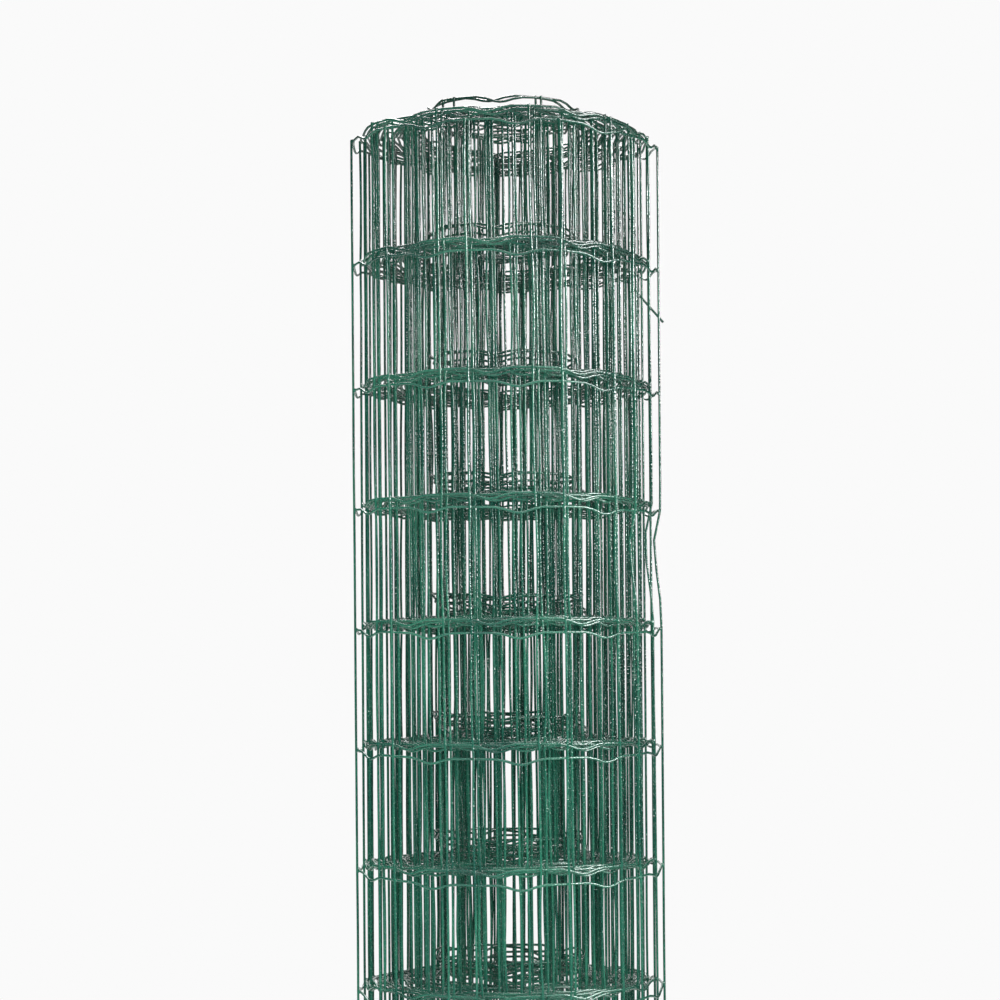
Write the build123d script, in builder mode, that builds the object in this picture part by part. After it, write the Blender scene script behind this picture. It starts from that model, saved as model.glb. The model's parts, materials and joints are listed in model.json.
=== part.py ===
import os

from build123d import *

# Roll of welded wire mesh fencing, standing on its end round an open bore.
# One turned solid: the turns of the mesh end in ridges, above and below, a pair of close turns to
# each ridge and the outermost turn in one of its own. The turns have slipped along each other, so
# each ridge has its own height: only the outermost turn reaches the floor, the loose turns rise
# towards the middle, and the edge of the tight core stands above them all.
# Lengths in millimetres, +Z up, origin on the floor in the middle of the bore.

# Whole roll
mesh_height = 1000.0  # ten openings of 100 mm, the height of every turn
outer_diameter = 256.0
bore_diameter = 70.0

# Winding
core_diameter = 126.0  # the tight core ends here and the looser turns begin
core_ridges = 5
loose_ridges = 10
groove_depth = 2.0  # between two ridges, one wire deep

# How far the turns have slipped upwards from the outermost one
second_ridge_lift = 7.0
innermost_loose_lift = 14.0
core_edge_lift = 30.0
bore_lift = 15.0

outer_radius = outer_diameter / 2
bore_radius = bore_diameter / 2
core_radius = core_diameter / 2
ridge_count = core_ridges + loose_ridges
outermost_ridge = ridge_count - 1


def between(first, last, step, steps):
    """Value at one of the even steps from the first to the last."""
    return first + (last - first) * step / max(steps, 1)


def border_radius(ridge):
    """Radius of a ridge's inner border, ridge 0 being the innermost."""
    if ridge <= core_ridges:
        return between(bore_radius, core_radius, ridge, core_ridges)
    return between(core_radius, outer_radius, ridge - core_ridges, loose_ridges)


def foot_height(ridge):
    """Height of a ridge's lower edge above the floor."""
    if ridge == outermost_ridge:
        return 0.0
    if ridge < core_ridges:
        return between(bore_lift, core_edge_lift, ridge, core_ridges - 1)
    return between(innermost_loose_lift, second_ridge_lift, ridge - core_ridges, loose_ridges - 2)


# Section of the roll: its top and its foot, each from the bore outwards
top_points = [(bore_radius, mesh_height + foot_height(0))]
foot_points = [(bore_radius, foot_height(0))]
for ridge in range(ridge_count):
    height = foot_height(ridge)
    ridge_radius = (border_radius(ridge) + border_radius(ridge + 1)) / 2
    top_points.append((ridge_radius, mesh_height + height))
    foot_points.append((ridge_radius, height))
    if ridge != outermost_ridge:
        groove_radius = border_radius(ridge + 1)
        next_height = foot_height(ridge + 1)
        top_points.append((groove_radius, mesh_height + min(height, next_height) - groove_depth))
        foot_points.append((groove_radius, max(height, next_height) + groove_depth))
top_points.append((outer_radius, mesh_height + foot_height(outermost_ridge)))
foot_points.append((outer_radius, foot_height(outermost_ridge)))

with BuildPart() as roll:
    with BuildSketch(Plane.XZ):
        with BuildLine():
            Polyline(*top_points, *reversed(foot_points), close=True)
        make_face()
    revolve(axis=Axis.Z)

roll.part.label = "welded_mesh_roll"

os.makedirs("parts", exist_ok=True)
export_step(roll.part, "parts/welded_mesh_roll.step")
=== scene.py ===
import bmesh
import bpy
import json
import math
import numpy as np
from mathutils import Matrix, Vector


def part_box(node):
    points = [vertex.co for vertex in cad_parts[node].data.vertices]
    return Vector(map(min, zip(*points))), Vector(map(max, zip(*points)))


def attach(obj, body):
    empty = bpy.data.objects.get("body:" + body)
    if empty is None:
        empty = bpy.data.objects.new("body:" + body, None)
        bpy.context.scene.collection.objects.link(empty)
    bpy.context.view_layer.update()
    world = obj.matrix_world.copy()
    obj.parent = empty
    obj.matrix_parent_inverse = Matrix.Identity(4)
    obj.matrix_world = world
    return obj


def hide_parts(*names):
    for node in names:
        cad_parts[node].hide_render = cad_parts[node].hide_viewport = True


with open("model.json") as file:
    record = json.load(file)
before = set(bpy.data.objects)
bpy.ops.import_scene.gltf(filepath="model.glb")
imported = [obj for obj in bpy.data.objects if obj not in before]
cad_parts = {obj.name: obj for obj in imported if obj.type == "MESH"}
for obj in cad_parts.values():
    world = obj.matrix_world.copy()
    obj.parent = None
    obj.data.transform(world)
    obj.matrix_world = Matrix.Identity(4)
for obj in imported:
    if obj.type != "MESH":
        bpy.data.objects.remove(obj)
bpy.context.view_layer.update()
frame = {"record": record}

mm = 0.001
rollNode = "welded_mesh_roll"
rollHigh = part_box(rollNode)[1]
mounts = {mount["name"]: mount for mount in frame["record"]["mounts"]}
boreRadius = mounts["carrying_bore"]["dims"]["r_mm"] * mm
meshHeight = mounts["carrying_bore"]["dims"]["length_mm"] * mm  # the bore is as long as the mesh is high
chance = np.random.default_rng(11)

# camera of the photograph, from the ellipses of the line wires
photoCamera = {
    "place": (-0.0058, -2.161, 0.661),
    "pitchUp": 1.09,  # degrees
    "roll": -0.462,  # degrees
    "lens": 93.9,
    "sensor": 36.0,
}
cameraData = bpy.data.cameras.new("photoCamera")
cameraData.lens = photoCamera["lens"]
cameraData.sensor_width = photoCamera["sensor"]
camera = bpy.data.objects.new("photoCamera", cameraData)
bpy.context.collection.objects.link(camera)
camera.matrix_world = (
    Matrix.Translation(photoCamera["place"])
    @ Matrix.Rotation(math.radians(90 + photoCamera["pitchUp"]), 4, "X")
    @ Matrix.Rotation(math.radians(photoCamera["roll"]), 4, "Z")
)
bpy.context.scene.camera = camera
print("camera placed")

# the flat mesh before it is wound
mesh = {
    "wire": 2.0 * mm,  # steel and coat together
    "roundSteps": 2,  # of a wire's section, which gives it eight sides
    "openings": 10,
    "tallOpenings": 2,  # the two upper rows
    "tallOpening": 102.8 * mm,
    "soldCell": 75.0 * mm,
    "cell": 73.9 * mm,  # less what the line wire's crimp takes up
    "tip": 1.3 * mm,  # upright past the last line wire
    "sink": 0.2 * mm,  # how far the weld lets the wires into each other
    "crimpDepth": 4.3 * mm,
    "crimpHalf": 19.0 * mm,
}
wireRadius = mesh["wire"] / 2
lineCount = mesh["openings"] + 1
footHeight = mesh["crimpDepth"] + wireRadius  # the lowest line wire stands on its crimps
tallHeight = mesh["tallOpenings"] * mesh["tallOpening"]
topLine = meshHeight - mesh["tip"]
lowOpenings = mesh["openings"] - mesh["tallOpenings"]
lowOpening = (topLine - tallHeight - footHeight) / lowOpenings
openingHeights = [mesh["tallOpening"]] * mesh["tallOpenings"] + [lowOpening] * lowOpenings
lineHeights = topLine - np.cumsum([0.0] + openingHeights)  # from the top down
uprightOut = mesh["wire"] - mesh["sink"]  # the uprights lie outside the line wires

# how it is wound: marks along the strip, in turns from the free end inwards
outerLine = rollHigh.x - wireRadius - uprightOut
winding = {
    "firstUpright": 144.3,  # degrees round the roll, from the front to the right
    "turnMarks": (-0.1, 0.84, 1.0, 22.0, 29.0),
    "radiusMarks": (
        outerLine,
        outerLine,
        outerLine - 5.0 * mm,  # the second turn dips under the free end
        58.0 * mm,
        boreRadius + wireRadius,
    ),
    # how far the turns have slipped upwards: the core's edge stands highest
    "liftTurns": (-0.1, 0.75, 1.05, 19.7, 20.2, 21.6, 22.2, 23.0, 23.6, 29.0),
    "liftMarks": (0, 0, 4.8 * mm, 9 * mm, 28.5 * mm, 26 * mm, 21 * mm, 19 * mm, 14 * mm, 12 * mm),
    "tilt": 2.2,  # degrees: the inner turns stand higher in front
    "tiltTurns": (0.9, 1.15),
    "backDrop": 8.0 * mm,  # the loose turns hang lower behind, most at the top
    "dropTurns": (0.9, 1.15, 19.7, 20.2),  # begins, full, full, ends
    "bunchFrom": 2.0,  # turns: from here inwards the uprights have settled beside each other
    "bunchTurns": 3,  # how many turns inwards an upright can find a neighbour
    "bunchReach": 9.0 * mm,  # how far off the neighbour can be
    "bunchShare": 0.8,  # of the way to it
    "slip": 1.3 * mm,  # one turn against the next
    "slipFrom": 1.3,  # turns: the outermost one lies true
    "slipSteps": 3,  # a turn
    "bendRadius": 50.0 * mm,  # of a line wire that climbs over an upright of the turn below
    "samples": 360,  # a turn
    "softenReach": 4,  # samples each way, over which the wound line is smoothed
}


def bunchUprights(turns, arcs):
    spots = np.arange(int(arcs[-1] / mesh["cell"]) + 1) * mesh["cell"]
    rounds = np.interp(spots, arcs, turns)
    radii = np.interp(rounds, winding["turnMarks"], winding["radiusMarks"])
    for number in range(len(spots) - 1, -1, -1):  # each settles beside one of the turns inside it
        inwards = rounds[number + 1:] - rounds[number]
        inwards = inwards[inwards < winding["bunchTurns"] + 0.5]
        away = ((inwards + 0.5) % 1 - 0.5) * 2 * math.pi * radii[number]
        away = away[np.abs(away) < winding["bunchReach"]]
        if rounds[number] < winding["bunchFrom"] or not len(away):
            continue
        nearest = away[np.argmin(np.abs(away))]
        spots[number] += winding["bunchShare"] * (nearest - math.copysign(mesh["wire"], nearest))
        rounds[number] = np.interp(spots[number], arcs, turns)
    return spots


def windStrip():
    count = winding["samples"]
    turns = np.arange(winding["turnMarks"][0], winding["turnMarks"][-1], 1 / count)
    radii = np.interp(turns, winding["turnMarks"], winding["radiusMarks"])
    arcs = np.cumsum(radii) * 2 * math.pi / count
    arcs -= np.interp(0, turns, arcs)
    uprights = bunchUprights(turns, arcs)
    fromUpright = np.abs(arcs[:, None] - uprights).min(axis=1)
    climb = np.clip(uprightOut - fromUpright ** 2 / (2 * winding["bendRadius"]), 0, None)
    for sample in range(len(turns) - count - 1, -1, -1):  # every turn lies on the one inside it
        below = sample + count
        radii[sample] = max(radii[sample], radii[below] + mesh["wire"] + climb[below])
    reach = winding["softenReach"]
    soften = np.hanning(2 * reach + 1)
    padded = np.pad(radii, reach, mode="edge")
    radii = np.convolve(padded, soften / soften.sum(), mode="valid")
    return turns, arcs, radii, uprights


def slipTurns():
    turns = np.arange(winding["slipFrom"], winding["turnMarks"][-1] + 1, 1 / winding["slipSteps"])
    slips = chance.normal(0, winding["slip"], len(turns))
    slips[0] = 0
    return turns, slips


stripTurns, stripArcs, stripRadii, uprightArcs = windStrip()
looseTurns, looseSlips = slipTurns()
uprightCount = len(uprightArcs)
print("strip wound:", uprightCount, "uprights,", round(uprightCount * mesh["soldCell"], 2), "m of mesh")

# how the roll has gone out of true
slack = {
    "sag": 7.5 * mm,  # the outer turns hang lower on the right, most at the top
    "sagFrom": 330.0 * mm,  # height
    "sagShares": (0.3, 1.0),  # of the radius
    "sagTurns": (0.95, 6.0),  # full up to the first, gone from the second
    "dentHeight": 669.0 * mm,  # where the right side has been pushed in
    "dentAbove": 28.0 * mm,
    "dentBelow": 68.0 * mm,
    "dentDepth": 5.5 * mm,
    "dentAngles": (43.0, 54.0, 94.0, 104.0),  # degrees: begins, full, full, ends
    "dentTurns": 2,
}


def smoothStep(low, high, value):
    share = np.clip((value - low) / (high - low), 0, 1)
    return share * share * (3 - 2 * share)


def onStrip(arc, height, outward):
    turn = np.interp(arc, stripArcs, stripTurns)
    angle = math.radians(winding["firstUpright"]) + turn * 2 * math.pi
    radius = np.interp(arc, stripArcs, stripRadii) + outward
    x = radius * np.sin(angle)
    y = -radius * np.cos(angle)
    z = height + np.interp(turn, winding["liftTurns"], winding["liftMarks"])
    z = z + np.interp(turn, looseTurns, looseSlips)
    z = z - math.tan(math.radians(winding["tilt"])) * y * smoothStep(*winding["tiltTurns"], turn)
    drop = winding["backDrop"] * smoothStep(0, outerLine, y) * height / meshHeight
    z = z - drop * np.interp(turn, winding["dropTurns"], (0, 1, 1, 0))
    sag = slack["sag"] * np.clip((height - slack["sagFrom"]) / (meshHeight - slack["sagFrom"]), 0, 1)
    sag = sag * smoothStep(*slack["sagShares"], x / outerLine)
    z = z - sag * (1 - smoothStep(*slack["sagTurns"], turn))
    fromDent = z - slack["dentHeight"]
    reach = np.where(fromDent > 0, slack["dentAbove"], slack["dentBelow"])
    push = slack["dentDepth"] * np.cos(np.clip(fromDent / reach, -1, 1) * math.pi / 2) ** 2
    fromFront = np.degrees(angle) % 360
    dentShare = np.interp(fromFront, slack["dentAngles"], (0, 1, 1, 0)) * (turn < slack["dentTurns"])
    x = x - push * dentShare
    return np.column_stack(np.broadcast_arrays(x, y, z))


def addNode(tree, kind, settings=None, links=None):
    node = tree.nodes.new(kind)
    for name, value in (settings or {}).items():
        if name in node.inputs:
            node.inputs[name].default_value = value
        else:
            setattr(node, name, value)
    for name, socket in (links or {}).items():
        tree.links.new(socket, node.inputs[name])
    return node


def linearColour(hexText):
    channels = [int(hexText[start:start + 2], 16) / 255 for start in (1, 3, 5)]
    linear = [c / 12.92 if c <= 0.04045 else ((c + 0.055) / 1.055) ** 2.4 for c in channels]
    return (*linear, 1.0)


def newMaterial(name):
    material = bpy.data.materials.new(name)
    material.use_nodes = True
    material.node_tree.nodes.clear()
    return material


# soft PVC, sintered on after the welding: glossy and a little lumpy, smoothest on the tops of its lumps,
# and its green drifts in patches; the lumps are drawn coarser than they are, so that they show
pvcCoat = {
    "light": "#266a54",
    "dark": "#154a3e",
    "patch": 60 * mm,  # drift of the colour along a wire
    "patchFrom": 0.35,  # of the pattern's range: dark up to here
    "patchTo": 0.65,  # and light from here
    "lump": 1.8 * mm,
    "lumpHeight": 0.5 * mm,
    "glossFrom": 0.45,  # of the lumps' height
    "glossTo": 0.55,
    "roughFrom": 0.3,  # of the lumps' height
    "roughTo": 0.7,
    "roughLow": 0.12,
    "roughHigh": 0.3,
    "ior": 1.53,
    "specular": 0.9,
}


def makePvcCoat():
    material = newMaterial("PVC_coated_steel_wire")
    tree = material.node_tree
    place = addNode(tree, "ShaderNodeTexCoord").outputs["Object"]
    patches = addNode(
        tree,
        "ShaderNodeTexNoise",
        {"Scale": 1 / pvcCoat["patch"], "Detail": 3.0},
        {"Vector": place},
    )
    lumps = addNode(
        tree,
        "ShaderNodeTexNoise",
        {"Scale": 1 / pvcCoat["lump"], "Detail": 1.0},
        {"Vector": place},
    )
    green = addNode(tree, "ShaderNodeValToRGB", links={"Fac": patches.outputs["Fac"]})
    green.color_ramp.elements[0].position = pvcCoat["patchFrom"]
    green.color_ramp.elements[0].color = linearColour(pvcCoat["dark"])
    green.color_ramp.elements[1].position = pvcCoat["patchTo"]
    green.color_ramp.elements[1].color = linearColour(pvcCoat["light"])
    rough = addNode(
        tree,
        "ShaderNodeMapRange",
        {
            "From Min": pvcCoat["roughFrom"],
            "From Max": pvcCoat["roughTo"],
            "To Min": pvcCoat["roughHigh"],
            "To Max": pvcCoat["roughLow"],
        },
        {"Value": lumps.outputs["Fac"]},
    )
    gloss = addNode(
        tree,
        "ShaderNodeMapRange",
        {"From Min": pvcCoat["glossFrom"], "From Max": pvcCoat["glossTo"]},
        {"Value": lumps.outputs["Fac"]},
    )
    bump = addNode(
        tree,
        "ShaderNodeBump",
        {"Strength": 1.0, "Distance": pvcCoat["lumpHeight"]},
        {"Height": lumps.outputs["Fac"]},
    )
    shader = addNode(
        tree,
        "ShaderNodeBsdfPrincipled",
        {
            "IOR": pvcCoat["ior"],
            "Specular IOR Level": pvcCoat["specular"],
            "Coat Roughness": pvcCoat["roughLow"],
        },
        {
            "Base Color": green.outputs["Color"],
            "Roughness": rough.outputs["Result"],
            "Normal": bump.outputs["Normal"],
            "Coat Weight": gloss.outputs["Result"],
            "Coat Normal": bump.outputs["Normal"],
        },
    )
    addNode(tree, "ShaderNodeOutputMaterial", links={"Surface": shader.outputs["BSDF"]})
    return material


# galvanised steel, bare where the wire was snipped: dull grey metal with a scratched cut
cutSteel = {"light": "#b9bcbd", "dark": "#85898c", "scratch": 0.5 * mm, "roughness": 0.38}


def makeCutSteel():
    material = newMaterial("galvanised_steel_cut_end")
    tree = material.node_tree
    place = addNode(tree, "ShaderNodeTexCoord").outputs["Object"]
    scratches = addNode(
        tree,
        "ShaderNodeTexNoise",
        {"Scale": 1 / cutSteel["scratch"], "Detail": 4.0},
        {"Vector": place},
    )
    grey = addNode(tree, "ShaderNodeValToRGB", links={"Fac": scratches.outputs["Fac"]})
    grey.color_ramp.elements[0].color = linearColour(cutSteel["dark"])
    grey.color_ramp.elements[1].color = linearColour(cutSteel["light"])
    shader = addNode(
        tree,
        "ShaderNodeBsdfPrincipled",
        {"Metallic": 1.0, "Roughness": cutSteel["roughness"]},
        {"Base Color": grey.outputs["Color"]},
    )
    addNode(tree, "ShaderNodeOutputMaterial", links={"Surface": shader.outputs["BSDF"]})
    return material


coatMaterial = makePvcCoat()
cutMaterial = makeCutSteel()
wirePieces = bpy.data.collections.new("wirePieces")  # what the strip lamps light


def finishPiece(piece, material):
    wirePieces.objects.link(piece)
    piece.data.materials.clear()
    piece.data.materials.append(material)
    piece.data.shade_smooth()
    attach(piece, "root")
    return piece


def drawWires(name, paths):
    curve = bpy.data.curves.new(name, "CURVE")
    curve.dimensions = "3D"
    curve.bevel_depth = wireRadius
    curve.bevel_resolution = mesh["roundSteps"]
    curve.use_fill_caps = True
    for points, widths in paths:
        spline = curve.splines.new("POLY")
        spline.points.add(len(points) - 1)
        spline.points.foreach_set("co", np.column_stack((points, np.ones(len(points)))).ravel())
        spline.points.foreach_set("radius", widths)
    drawn = bpy.data.objects.new(name + "Path", curve)
    bpy.context.collection.objects.link(drawn)
    settled = drawn.evaluated_get(bpy.context.evaluated_depsgraph_get())
    piece = bpy.data.objects.new(name, bpy.data.meshes.new_from_object(settled))
    bpy.data.objects.remove(drawn)
    bpy.data.curves.remove(curve)
    bpy.context.collection.objects.link(piece)
    return finishPiece(piece, coatMaterial)


# uprights: nearly straight, with a lean and small waves between the welds
upright = {
    "groups": {  # turns from the outside
        "outerUprights": (0, 2),
        "looseUprights": (2, 20),
        "coreUprights": (20, 30),
    },
    "spanSteps": 4,  # straight pieces between two welds
    "twist": -7.5 * mm,  # the tops lean to the left, seen from the front
    "lean": 1.6 * mm,
    "wave": 0.8 * mm,
    "tipHeights": (0.0, 0.25 * mm, 0.8 * mm),  # the coat closes round the end
    "tipShares": (0.45, 0.82, 1.0),
    "lump": 0.025,  # of the radius
}
uprightLeans = chance.normal(upright["twist"], upright["lean"], uprightCount)
uprightTurns = np.interp(uprightArcs, stripArcs, stripTurns)


def leanAt(number, height):
    return uprightArcs[number] + uprightLeans[number] * (height / meshHeight - 0.5)


def uprightPath(number):
    heights = [lineHeights[-1] - mesh["tip"] + np.array(upright["tipHeights"])]
    waves = [np.zeros(len(upright["tipHeights"]))]
    for low, opening in zip(lineHeights[:0:-1], openingHeights[::-1]):
        share = np.arange(upright["spanSteps"]) / upright["spanSteps"]
        heights.append(low + share * opening)
        waves.append(chance.normal(0, upright["wave"]) * np.sin(share * math.pi))
    heights.append(meshHeight - np.array(upright["tipHeights"])[::-1])
    waves.append(np.zeros(len(upright["tipHeights"])))
    heights = np.concatenate(heights)
    waves = np.concatenate(waves)
    widths = 1 + chance.uniform(-1, 1, len(heights)) * upright["lump"]
    ends = len(upright["tipShares"])
    widths[:ends] = upright["tipShares"]
    widths[-ends:] = upright["tipShares"][::-1]
    return onStrip(leanAt(number, heights) + waves, heights, uprightOut), widths


for name, (firstTurn, lastTurn) in upright["groups"].items():
    numbers = np.flatnonzero((uprightTurns >= firstTurn) & (uprightTurns < lastTurn))
    piece = drawWires(name, [uprightPath(number) for number in numbers])
    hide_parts(rollNode)
    print(name + ":", len(numbers), "wires,", len(piece.data.polygons), "faces")

# line wires: one for every level, crimped between the uprights
lineWire = {
    "crimpShares": (-1, -0.6, -0.25, 0, 0.25, 0.6, 1),  # points along a crimp, of half its width
    "flatTurn": 9.0,  # degrees that one straight piece turns at most
    "sag": 0.3 * mm,
    "lump": 0.025,  # of the radius
    "stubPoints": 4,
    "stubShort": 4.0 * mm,
    "stubLong": 12.0 * mm,
    "innerStub": 6.0 * mm,
    "bentLine": 1,  # the second line wire from the top has a long bent end
    "bentRun": 44.0 * mm,
    "bentLength": 48.0 * mm,
    "bentDown": 47.0,  # degrees
    "bentOut": 30.0,  # degrees
}


def cellSteps(cell):
    crimpShare = mesh["crimpHalf"] / mesh["cell"]
    turned = mesh["cell"] / np.interp((cell + 0.5) * mesh["cell"], stripArcs, stripRadii)
    pieces = math.ceil(math.degrees(turned) * (0.5 - crimpShare) / lineWire["flatTurn"])
    before = np.linspace(0, 0.5 - crimpShare, pieces, endpoint=False)
    crimp = 0.5 + np.array(lineWire["crimpShares"]) * crimpShare
    after = 1 - before[:0:-1]
    return cell + np.concatenate((before, crimp, after))


lineSteps = np.concatenate([cellSteps(cell) for cell in range(uprightCount - 1)] + [[uprightCount - 1.0]])


def lineWirePath(line):
    arcs = np.interp(lineSteps, np.arange(uprightCount), uprightArcs)
    fromMiddle = np.abs(lineSteps % 1 - 0.5) * mesh["cell"]
    crimp = mesh["crimpDepth"] * np.cos(np.clip(fromMiddle / mesh["crimpHalf"], 0, 1) * math.pi / 2) ** 2
    sags = chance.normal(0, lineWire["sag"], uprightCount)[lineSteps.astype(int)]
    heights = lineHeights[line] - crimp + sags * np.sin(lineSteps % 1 * math.pi)
    stub = chance.uniform(lineWire["stubShort"], lineWire["stubLong"])
    if line == lineWire["bentLine"]:
        stub = lineWire["bentRun"]
    stubSteps = np.linspace(-stub, 0, lineWire["stubPoints"], endpoint=False)
    arcs = np.concatenate((stubSteps, arcs, [arcs[-1] + lineWire["innerStub"]]))
    heights = np.concatenate((np.full(len(stubSteps), heights[0]), heights, heights[-1:]))
    points = onStrip(arcs, heights, 0)
    points[:, 2] = np.maximum(points[:, 2], wireRadius * (1 + lineWire["lump"]))  # no lower than the floor
    if line == lineWire["bentLine"]:
        along = Vector(points[0] - points[1]).normalized()
        along.rotate(Matrix.Rotation(math.radians(lineWire["bentOut"]), 3, "Z"))
        down = math.radians(lineWire["bentDown"])
        away = along * math.cos(down) - Vector((0, 0, math.sin(down)))
        points = np.vstack((points[0] + np.array(away * lineWire["bentLength"]), points))
    widths = 1 + chance.uniform(-1, 1, len(points)) * lineWire["lump"]
    return points, widths


linePaths = [lineWirePath(line) for line in range(lineCount)]
for line, path in enumerate(linePaths):
    piece = drawWires("lineWire%02d" % (line + 1), [path])
    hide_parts(rollNode)
print("line wires:", lineCount, "of", len(piece.data.polygons), "faces")

# welds: the coat fills the corners where the wires cross
weld = {"across": 1.6 * mm, "deep": 1.4 * mm, "around": 8, "rings": 5, "spread": 0.12}
bead = bmesh.new()
bmesh.ops.create_uvsphere(bead, u_segments=weld["around"], v_segments=weld["rings"], radius=1)
beadPoints = np.array([vert.co for vert in bead.verts])
beadFaces = [[vert.index for vert in face.verts] for face in bead.faces]
bead.free()
weldPoints = []
for number in range(uprightCount):
    spots = onStrip(leanAt(number, lineHeights), lineHeights, uprightOut / 2)
    for spot in spots:
        size = weld["across"] * (1 + chance.uniform(-1, 1) * weld["spread"])
        turned = np.array(Matrix.Rotation(math.atan2(spot[1], spot[0]), 3, "Z"))
        weldPoints.append(spot + (beadPoints * (weld["deep"], size, size)) @ turned.T)
weldFaces = [
    [corner + copy * len(beadPoints) for corner in face]
    for copy in range(len(weldPoints))
    for face in beadFaces
]
weldMesh = bpy.data.meshes.new("welds")
weldMesh.from_pydata(np.concatenate(weldPoints), [], weldFaces)
welds = bpy.data.objects.new("welds", weldMesh)
bpy.context.collection.objects.link(welds)
finishPiece(welds, coatMaterial)
print("welds:", len(weldMesh.polygons), "faces")

# cut ends of the line wires: the steel shows in the middle of the coat
cutEnd = {"radius": 0.8 * mm, "proud": 0.06 * mm, "around": 12}
discs = bmesh.new()
for points, _ in linePaths:
    for end, before in ((points[0], points[1]), (points[-1], points[-2])):
        outwards = Vector(end - before).normalized()
        shape = Matrix.Translation(end) @ outwards.to_track_quat("Z", "Y").to_matrix().to_4x4()
        bmesh.ops.create_cone(
            discs,
            cap_ends=True,
            segments=cutEnd["around"],
            radius1=cutEnd["radius"],
            radius2=cutEnd["radius"],
            depth=2 * cutEnd["proud"],
            matrix=shape,
        )
discMesh = bpy.data.meshes.new("cutWireEnds")
discs.to_mesh(discMesh)
discs.free()
cutEnds = bpy.data.objects.new("cutWireEnds", discMesh)
bpy.context.collection.objects.link(cutEnds)
finishPiece(cutEnds, cutMaterial)
print("cut ends:", len(discMesh.polygons), "faces")

# pale floor: keeps the shadow near the roll and fades into the background
floor = {
    "colour": "#f1f1ef",
    "radius": 1.5,
    "solidTo": 0.45,  # metres from the middle
    "goneFrom": 1.3,
    "around": 96,
    "rough": 0.6,
}
disc = bmesh.new()
bmesh.ops.create_circle(disc, cap_ends=True, segments=floor["around"], radius=floor["radius"])
floorMesh = bpy.data.meshes.new("floor")
disc.to_mesh(floorMesh)
disc.free()
floorPiece = bpy.data.objects.new("floor", floorMesh)
bpy.context.collection.objects.link(floorPiece)
floorMaterial = newMaterial("pale_floor")
floorTree = floorMaterial.node_tree
floorPlace = addNode(floorTree, "ShaderNodeTexCoord").outputs["Object"]
fromRoll = addNode(floorTree, "ShaderNodeVectorMath", {"operation": "LENGTH"}, {"Vector": floorPlace})
fade = addNode(
    floorTree,
    "ShaderNodeMapRange",
    {"interpolation_type": "SMOOTHSTEP", "From Min": floor["solidTo"], "From Max": floor["goneFrom"]},
    {"Value": fromRoll.outputs["Value"]},
)
paint = addNode(
    floorTree,
    "ShaderNodeBsdfDiffuse",
    {"Color": linearColour(floor["colour"]), "Roughness": floor["rough"]},
)
clear = addNode(floorTree, "ShaderNodeBsdfTransparent")
floorMix = addNode(floorTree, "ShaderNodeMixShader", links={"Fac": fade.outputs["Result"]})
floorTree.links.new(paint.outputs["BSDF"], floorMix.inputs[1])
floorTree.links.new(clear.outputs["BSDF"], floorMix.inputs[2])
addNode(floorTree, "ShaderNodeOutputMaterial", links={"Surface": floorMix.outputs["Shader"]})
floorMesh.materials.append(floorMaterial)
floorPieces = bpy.data.collections.new("floorPieces")  # what the overhead lamp lights
floorPieces.objects.link(floorPiece)

# studio: a faint light all round, and white to the camera and in reflections
studio = {"background": "#fafafa", "ambient": 0.03}
world = bpy.data.worlds.new("studio")
bpy.context.scene.world = world
world.use_nodes = True
worldTree = world.node_tree
worldTree.nodes.clear()
rays = addNode(worldTree, "ShaderNodeLightPath")
seen = addNode(worldTree, "ShaderNodeMath", {"operation": "MAXIMUM"})
worldTree.links.new(rays.outputs["Is Camera Ray"], seen.inputs[0])
worldTree.links.new(rays.outputs["Is Glossy Ray"], seen.inputs[1])
seenThrough = addNode(worldTree, "ShaderNodeMath", {"operation": "MAXIMUM"})
worldTree.links.new(seen.outputs["Value"], seenThrough.inputs[0])
worldTree.links.new(rays.outputs["Is Transmission Ray"], seenThrough.inputs[1])
softLight = addNode(
    worldTree,
    "ShaderNodeBackground",
    {"Color": (1, 1, 1, 1), "Strength": studio["ambient"]},
)
white = addNode(
    worldTree,
    "ShaderNodeBackground",
    {"Color": linearColour(studio["background"]), "Strength": 1.0},
)
worldMix = addNode(worldTree, "ShaderNodeMixShader", links={"Fac": seenThrough.outputs["Value"]})
worldTree.links.new(softLight.outputs["Background"], worldMix.inputs[1])
worldTree.links.new(white.outputs["Background"], worldMix.inputs[2])
addNode(worldTree, "ShaderNodeOutputWorld", links={"Surface": worldMix.outputs["Shader"]})

# dark studio walls, open behind the roll, so that its gloss shows the white of the studio only there
room = {
    "colour": "#121212",
    "radius": 3.4,
    "low": -1.5,
    "high": 4.5,
    "opening": 30.0,  # degrees
    "around": 48,
}
walls = bmesh.new()
halfOpening = math.radians(room["opening"] / 2)
edgeEnd = Vector((0, room["radius"], 0))
edgeEnd.rotate(Matrix.Rotation(halfOpening, 3, "Z"))
corners = [walls.verts.new((edgeEnd.x, edgeEnd.y, height)) for height in (room["low"], room["high"])]
wallEdge = walls.edges.new(corners)
bmesh.ops.spin(
    walls,
    geom=corners + [wallEdge],
    axis=(0, 0, 1),
    cent=(0, 0, 0),
    angle=2 * math.pi - 2 * halfOpening,
    steps=room["around"],
)
wallMesh = bpy.data.meshes.new("studioWalls")
walls.to_mesh(wallMesh)
walls.free()
wallPiece = bpy.data.objects.new("studioWalls", wallMesh)
bpy.context.collection.objects.link(wallPiece)
wallMaterial = newMaterial("dark_wall_paint")
wallTree = wallMaterial.node_tree
wallPaint = addNode(wallTree, "ShaderNodeBsdfDiffuse", {"Color": linearColour(room["colour"])})
addNode(wallTree, "ShaderNodeOutputMaterial", links={"Surface": wallPaint.outputs["BSDF"]})
wallMesh.materials.append(wallMaterial)
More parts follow.
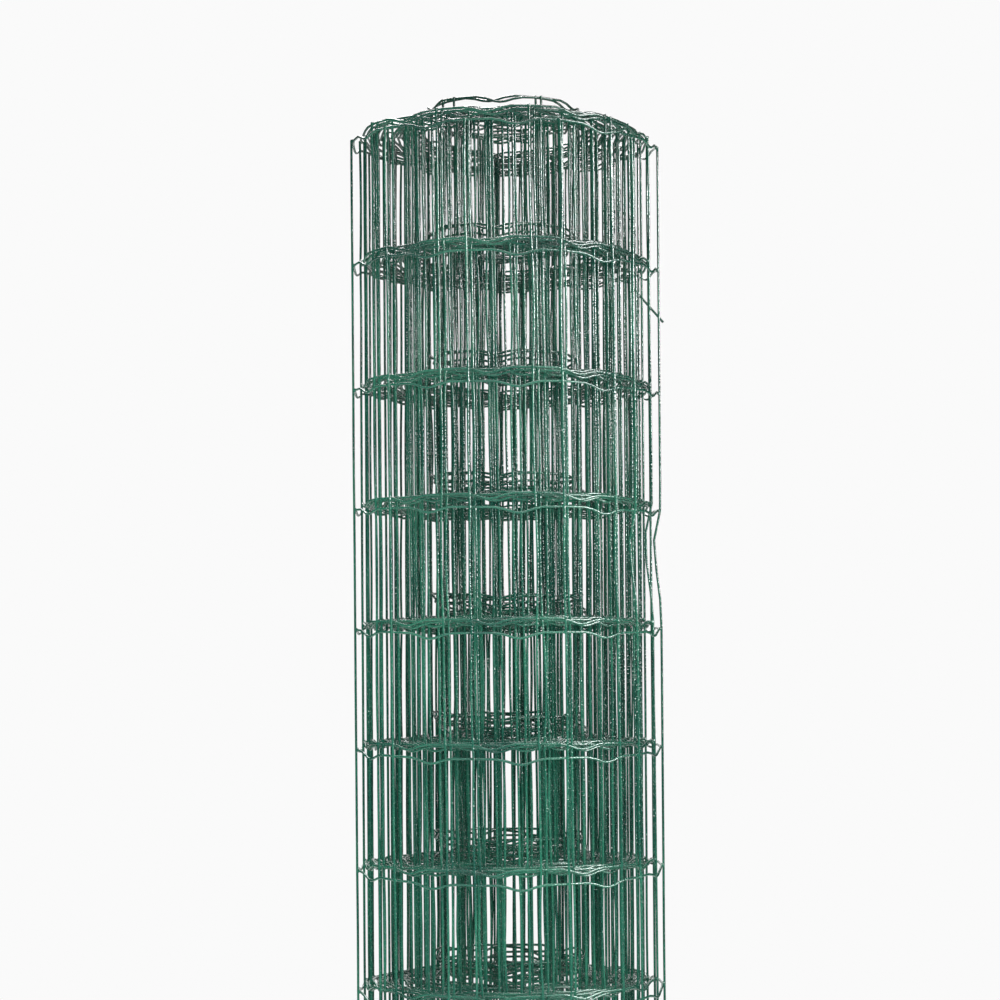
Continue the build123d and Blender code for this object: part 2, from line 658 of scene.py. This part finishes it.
wallPiece.visible_camera = False

# lamps: one at the side for the shine, two soft ones from above, one overhead for the floor alone, and
# a ring of strips close to the roll for the wires alone, whose light falls off within the roll, so that
# its inside stays dark
lamps = {
    "side": {"place": (2.45, -1.14, 1.4), "aim": (0, 0, 1.4), "wide": 2.0, "high": 0.8, "watts": 165},
    "top": {"place": (0.2, -1.0, 2.9), "aim": (0, 0, 0.7), "wide": 1.0, "high": 1.0, "watts": 12},
    "back": {"place": (-0.6, 2.3, 3.0), "aim": (0, 0, 0.6), "wide": 1.6, "high": 1.6, "watts": 95},
    "overhead": {"place": (0, 0, 3.2), "aim": (0, 0, 0), "wide": 2.0, "high": 2.0, "watts": 36},
}
strips = {
    "fromAxis": 0.34,
    "wide": 0.15,
    "high": 1.0,
    "watts": (1.7, 0.8, 0.8, 0.9, 0.9, 0.8, 0.8, 1.7),  # from the front round to the right
}
for number, watts in enumerate(strips["watts"]):
    angle = (number + 0.5) * 2 * math.pi / len(strips["watts"])
    middle = strips["high"] / 2
    lamps["strip%d" % (number + 1)] = {
        "place": (strips["fromAxis"] * math.sin(angle), -strips["fromAxis"] * math.cos(angle), middle),
        "aim": (0, 0, middle),
        "wide": strips["wide"],
        "high": strips["high"],
        "watts": watts,
    }
for name, lamp in lamps.items():
    lampData = bpy.data.lights.new(name + "Lamp", "AREA")
    lampData.shape = "RECTANGLE"
    lampData.size = lamp["wide"]
    lampData.size_y = lamp["high"]
    lampData.energy = lamp["watts"]
    lampObject = bpy.data.objects.new(name + "Lamp", lampData)
    bpy.context.collection.objects.link(lampObject)
    aim = Vector(lamp["aim"]) - Vector(lamp["place"])
    turned = aim.to_track_quat("-Z", "Y").to_matrix().to_4x4()
    lampObject.matrix_world = Matrix.Translation(lamp["place"]) @ turned
    lampObject.visible_camera = False
    lampObject.visible_diffuse = name != "side"  # that one gives shine alone, and the strips none
    if name == "overhead":
        lampObject.light_linking.receiver_collection = floorPieces
    if name.startswith("strip"):
        lampObject.visible_glossy = False
        lampObject.light_linking.receiver_collection = wirePieces
bpy.context.scene.view_settings.view_transform = "Standard"
print("studio lit")
